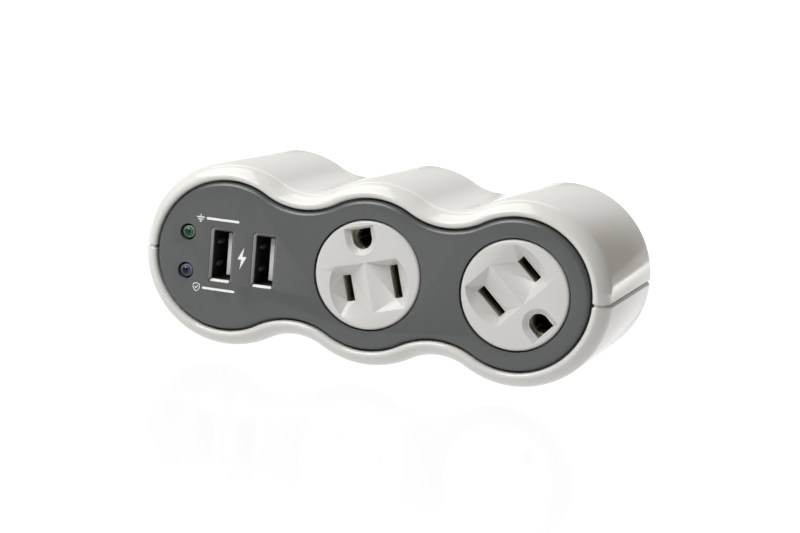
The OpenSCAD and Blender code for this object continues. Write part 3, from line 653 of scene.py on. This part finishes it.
class Finish:
    # one material or the world, and the nodes in it
    def __init__(self, owner):
        owner.use_nodes = True
        self.owner = owner
        self.tree = owner.node_tree
        self.place = self.node("ShaderNodeTexCoord", out="Object")

    def node(self, kind, settings=None, sockets=None, out=0):
        node = self.tree.nodes.new(kind)
        for key, value in (settings or {}).items():
            setattr(node, key, value)
        for key, value in (sockets or {}).items():
            self.feed(node.inputs[key], value)
        return Signal(self, node.outputs[out])

    def feed(self, socket, value):
        if isinstance(value, Signal):
            self.tree.links.new(value.socket, socket)
        else:
            socket.default_value = value

    def shade(self, **sockets):
        for key, value in sockets.items():
            self.feed(self.tree.nodes["Principled BSDF"].inputs[key.replace("_", " ")], value)

    def noise(self, size, detail, stretch=None):
        # noise whose blotches have about the given size
        place = self.place
        if stretch:
            place = self.node("ShaderNodeMapping", None, {"Vector": place, "Scale": stretch})
        return self.node("ShaderNodeTexNoise", None,
                         {"Vector": place, "Scale": 1 / size, "Detail": detail, "Roughness": 0.55}, "Fac")

    def step(self, value, low, high):
        # 0 below low, 1 above high
        return self.node("ShaderNodeMapRange", {"clamp": True},
                         {"Value": value, "From Min": low, "From Max": high}, "Result")

    def mix(self, factor, first, second):
        return self.node("ShaderNodeMix", {"data_type": "RGBA"}, {0: factor, 6: first, 7: second}, 2)

    def bump(self, height, distance):
        return self.node("ShaderNodeBump", None, {"Height": height, "Distance": distance, "Strength": 1.0}, "Normal")

    def bands(self, direction, size, distortion, detail, detailScale):
        return self.node("ShaderNodeTexWave", {"wave_type": "BANDS", "bands_direction": direction},
                         {"Vector": self.place, "Scale": 1 / size, "Distortion": distortion, "Detail": detail,
                          "Detail Scale": detailScale}, "Fac")

    def parts(self, vector):
        node = self.tree.nodes.new("ShaderNodeSeparateXYZ")
        self.feed(node.inputs[0], vector)
        return [Signal(self, socket) for socket in node.outputs]


def dim(color, factor):
    return tuple(channel * factor for channel in color[:3]) + (1.0,)


def plastic(name, color, rough, grain, depth, drift=0.03, scuffs=0.12):
    # moulded plastic: slow colour drift, moulded grain, hair scratches and finger marks in its gloss
    f = Finish(bpy.data.materials.new(name))
    slow = f.noise(11 * mm, 4)
    fine = f.noise(grain, 5)
    hair = f.step(f.noise(0.9 * mm, 4, (1, 1, 14)), 0.62, 0.7) * f.step(f.noise(6 * mm, 2), 0.48, 0.62)
    touch = f.step(f.noise(7 * mm, 5), 0.5, 0.66)
    tone = f.mix(slow, dim(color, 1 - drift), dim(color, 1 + drift))
    f.shade(Base_Color=f.mix(hair * 0.35, tone, dim(color, 0.9)),
            Roughness=rough + slow * 0.03 + fine * 0.04 + touch * scuffs * 0.4 + hair * scuffs,
            Normal=f.bump(fine + hair * -0.6, depth), IOR=1.5)
    return f.owner


def metal(name, color, rough, stretch, tarnish, paintedShadeDepth=None):
    # drawn or rolled metal: fine lines along one way, darker blotches, and painted shade, nearly black, in front of a
    # given depth
    f = Finish(bpy.data.materials.new(name))
    lines = f.noise(0.25 * mm, 3, stretch)
    blotch = f.noise(2.5 * mm, 5)
    tone = f.mix(f.step(blotch, 0.35, 0.7), dim(color, 1), dim(color, 1 - tarnish))
    if paintedShadeDepth is not None:
        depth = f.parts(f.place)[1]
        # painted shade: nearly black well in front of the depth, fading to the metal's own colour over the 8 mm up to
        # it
        tone = f.mix(f.step(depth, paintedShadeDepth - 8 * mm, paintedShadeDepth), dim(color, 0.12), tone)
    f.shade(Base_Color=tone, Roughness=rough + lines * 0.14 + blotch * 0.1, Normal=f.bump(lines, 0.003 * mm),
            Metallic=1.0)
    return f.owner


def board(name):
    # circuit board: solder mask over darker copper tracks
    f = Finish(bpy.data.materials.new(name))
    weave = f.noise(0.35 * mm, 2, (1, 1, 4))
    tracks = f.bands("X", 4.2 * mm, 3.0, 1.0, 0.8)
    onTrack = f.step(tracks, 0.62, 0.7)
    f.shade(Base_Color=f.mix(onTrack, (0.012, 0.075, 0.028, 1), (0.03, 0.15, 0.06, 1)),
            Roughness=0.28 + weave * 0.12, Normal=f.bump(onTrack + weave * 0.3, 0.03 * mm))
    return f.owner


def wound(name, color, turnSize, rough, metallic):
    # enamelled wire or tape laid turn by turn
    f = Finish(bpy.data.materials.new(name))
    turns = f.bands("Z", turnSize, 0.6, 2.0, 1.0)
    spots = f.noise(1.5 * mm, 4)
    f.shade(Base_Color=f.mix(turns, dim(color, 0.55), dim(color, 1)), Roughness=rough + spots * 0.15,
            Normal=f.bump(turns, 0.08 * mm), Metallic=metallic)
    return f.owner


def sheetMetal(name, color, lowY, walls):
    # plated sheet with painted shade inside: nearly black, rougher and less metallic deeper than about a millimetre
    # behind the lip, but left bright on the springs, which stand on the given walls
    f = Finish(bpy.data.materials.new(name))
    x, y, z = f.parts(f.place)
    lines = f.noise(0.2 * mm, 3, (1, 0.1, 1))
    # painted shade: the sheet darkens from 0.55 to 1.2 mm behind the lip
    paintedShade = f.step(y, lowY + 0.55 * mm, lowY + 1.2 * mm)
    for wall in walls:
        spring = f.step(x, wall + 0.05 * mm, wall + 0.15 * mm) * (1 - f.step(x, wall + 0.7 * mm, wall + 0.8 * mm))
        # the springs are left out of the painted shade
        paintedShade = paintedShade * (1 - spring * (1 - f.step((z * z) ** 0.5, 5.2 * mm, 5.5 * mm)))
    plated = f.mix(f.noise(2 * mm, 4), dim(color, 0.85), dim(color, 1))
    f.shade(Base_Color=f.mix(paintedShade, plated, (0.012, 0.011, 0.01, 1)), Roughness=0.24 + lines * 0.15 + paintedShade * 0.2,
            Normal=f.bump(lines, 0.003 * mm), Metallic=0.9 - paintedShade * 0.8)
    return f.owner


def lampLens(name, color, pale, use):
    # tinted resin: a dark middle with a fine ring in it, and a paler edge
    f = Finish(bpy.data.materials.new(name))
    centre = middle(lamps[use])
    x, y, z = f.parts(f.node("ShaderNodeMapping", {"vector_type": "POINT"},
                             {"Vector": f.place, "Location": (-centre.x, 0, -centre.z)}))
    reach = (x * x + z * z) ** 0.5 / mm
    edge = f.step(reach, 1.25, 1.4)
    ring = f.step(reach, 0.85, 0.95) * (1 - f.step(reach, 1.05, 1.2))
    cloud = f.noise(0.5 * mm, 3)
    tone = f.mix(edge, f.mix(ring, color, dim(pale, 0.3)), pale)
    f.shade(Base_Color=f.mix(cloud * 0.3, tone, dim(color, 0.6)), Roughness=0.03 + cloud * 0.03 + edge * 0.05,
            Normal=f.bump(cloud, 0.01 * mm), IOR=1.33)
    return f.owner


finishes = {
    "gloss_white": plastic("glossWhite", (0.595, 0.59, 0.56), 0.07, 0.45 * mm, 0.0008 * mm, 0.012, 0.05),
    "plate_grey": plastic("plateGrey", (0.081, 0.087, 0.083), 0.24, 0.18 * mm, 0.006 * mm, 0.04, 0.03),
    "outlet_white": plastic("outletWhite", (0.55, 0.54, 0.52), 0.27, 0.2 * mm, 0.006 * mm, 0.02, 0.1),
    "insulator": plastic("insulator", (0.66, 0.61, 0.47), 0.45, 0.25 * mm, 0.008 * mm, 0.04),
    "black_plastic": plastic("blackPlastic", (0.012, 0.012, 0.013), 0.38, 0.2 * mm, 0.008 * mm, 0.2),
    "rubber": plastic("rubber", (0.02, 0.02, 0.02), 0.7, 0.15 * mm, 0.015 * mm, 0.2),
    "varistor_blue": plastic("varistorBlue", (0.02, 0.09, 0.30), 0.3, 0.5 * mm, 0.02 * mm, 0.1),
    "capacitor_yellow": plastic("capacitorYellow", (0.62, 0.42, 0.05), 0.3, 0.4 * mm, 0.006 * mm, 0.05),
    "lead_black": plastic("leadBlack", (0.012, 0.012, 0.012), 0.4, 0.3 * mm, 0.01 * mm, 0.2),
    "lead_white": plastic("leadWhite", (0.66, 0.65, 0.63), 0.38, 0.3 * mm, 0.006 * mm, 0.03),
    "lead_green": plastic("leadGreen", (0.02, 0.22, 0.06), 0.4, 0.3 * mm, 0.01 * mm, 0.1),
    "lead_red": plastic("leadRed", (0.42, 0.025, 0.02), 0.4, 0.3 * mm, 0.01 * mm, 0.1),
    # brass in front of this depth sits inside the housing and gets painted shade
    "brass": metal("brass", (0.72, 0.52, 0.22), 0.22, (1, 0.08, 1), 0.25, paintedShadeDepth=-16 * mm),
    "port_nickel": sheetMetal("portNickel", (0.45, 0.445, 0.43), ports["left"][0].y,
                              [middle(ports[side]).x - port["inside"][0] / 2 for side in ports]),
    "screw_steel": metal("screwSteel", (0.45, 0.46, 0.47), 0.25, (1, 1, 1), 0.2),
    "fuse_silver": metal("fuseSilver", (0.62, 0.62, 0.63), 0.22, (0.1, 1, 1), 0.15),
    "board_green": board("boardGreen"),
    "choke_copper": wound("chokeCopper", (0.65, 0.24, 0.09), 2.2 * mm, 0.25, 1.0),
    "transformer_tape": wound("transformerTape", (0.62, 0.50, 0.10), 6 * mm, 0.35, 0.0),
    "lamp_green": lampLens("lampGreen", (0.002, 0.04, 0.012, 1), (0.42, 0.6, 0.46, 1), "ground"),
    "lamp_blue": lampLens("lampBlue", (0.002, 0.002, 0.018, 1), (0.42, 0.43, 0.56, 1), "surge"),
}
ink = plastic("printInk", (0.78, 0.78, 0.77), 0.5, 0.12 * mm, 0.004 * mm, 0.04)
for piece, slot in pieces:
    piece.data.materials.clear()
    piece.data.materials.append(ink if piece.name in marks else finishes[slot])
for node in frame["nodes"].values():
    for place in node.material_slots:
        place.material = finishes[place.material.name.split(".")[0]]
print("finishes made")

# floor, light and camera
ground = {"size": 14.0, "dark": (0.09, 0.09, 0.09, 1), "pale": (0.11, 0.11, 0.11, 1), "roughness": 0.1,
          "gloss": 0.12, "glow": 0.85, "patch": 1.6, "end": 0.5, "brightest": 3}
deselectAll()
bpy.ops.mesh.primitive_plane_add(size=ground["size"], location=(0, 0, -lobeR))
floor = named("floor")
bpy.ops.object.transform_apply(location=True, rotation=True, scale=True)
f = Finish(bpy.data.materials.new("paleFloor"))
x, y, z = f.parts(f.place)
behind = f.step(y, 0.08, 0.16)
far = f.step(y, 0.36, 0.42)
side = f.step(x + y * 0.13, 0.12, 0.2)
# a brighter patch behind the object, on the right, and a darker floor beyond it
glow = ground["glow"] + side * behind * (1 - far) * ground["patch"] - side * far * ground["end"]
f.shade(Base_Color=f.mix(f.noise(0.4, 2), ground["dark"], ground["pale"]),
        Roughness=ground["roughness"] + f.noise(0.05, 3) * 0.04, Specular_IOR_Level=ground["gloss"],
        Emission_Color=f.mix(glow / ground["brightest"], (0, 0, 0, 1), 3 * (ground["brightest"],) + (1,)),
        Emission_Strength=1.0)
floor.data.materials.append(f.owner)

sky = {"level": 0.15, "zenith": 0.15, "behind": 0.62, "rightDim": 0.85,
       "white": (1.0, 0.995, 0.98, 1), "card": (0.26, 0.2, 0.13, 1)}
world = bpy.data.worlds.new("studio")
bpy.context.scene.world = world
f = Finish(world)
x, y, z = f.parts(f.node("ShaderNodeTexCoord", out="Generated"))
# a taupe card stands behind, on the right
card = f.step(x, 0.0, 0.2) * f.step(y, 0.35, 0.7) * (1 - f.step(z, 0.25, 0.5))
level = sky["level"] + f.step(z, 0, 1) * sky["zenith"] + f.step(y, 0.1, 0.9) * sky["behind"]
level = level * (1 - f.step(x, 0, 0.9) * sky["rightDim"])
background = world.node_tree.nodes["Background"]
f.feed(background.inputs["Strength"], level * (1 - card) + card)
f.feed(background.inputs["Color"], f.mix(card, sky["white"], sky["card"]))


def softLight(name, place, size, power):
    # an area light that looks at the object
    deselectAll()
    bpy.ops.object.light_add(type="AREA", location=place)
    light = bpy.context.object
    light.name = name
    light.data.shape = "RECTANGLE"
    light.data.size, light.data.size_y = size
    light.data.energy = power
    light.rotation_euler = (-Vector(place)).to_track_quat("-Z", "Y").to_euler()


lights = {"overheadLight": {"place": (-0.45, -0.12, 0.88), "size": (0.8, 0.8), "power": 6.5},
          "frontLight": {"place": (-0.32, -0.66, 0.66), "size": (0.5, 0.6), "power": 7.0},
          "backStrip": {"place": (-0.25, 0.55, 0.62), "size": (0.8, 0.08), "power": 0.5}}
for name, light in lights.items():
    softLight(name, **light)

camera = {"azimuth": 17.5742, "elevation": 9.0706, "roll": 4.8214, "distance": 0.55309,
          "aim": (0.008439, faceY, 0.003383), "lens": 100.29, "sensor": 36, "nearest": 0.01, "furthest": 40}
azimuth, elevation, roll = (math.radians(camera[key]) for key in ("azimuth", "elevation", "roll"))
back = Vector((math.sin(azimuth) * math.cos(elevation), -math.cos(azimuth) * math.cos(elevation),
               math.sin(elevation)))            # from what the camera aims at to the camera
right = (-back).cross(Vector((0, 0, 1))).normalized()
up = right.cross(-back)
across = math.cos(roll) * right + math.sin(roll) * up
upright = -math.sin(roll) * right + math.cos(roll) * up
deselectAll()
bpy.ops.object.camera_add()
viewer = bpy.context.object
viewer.name = "camera"
viewer.matrix_world = Matrix.Translation(Vector(camera["aim"]) + camera["distance"] * back) @ \
    Matrix((across, upright, back)).transposed().to_4x4()
viewer.data.lens = camera["lens"]
viewer.data.sensor_width = camera["sensor"]
viewer.data.clip_start, viewer.data.clip_end = camera["nearest"], camera["furthest"]
bpy.context.scene.camera = viewer
bpy.context.scene.view_settings.view_transform = "Standard"
print("stage set")
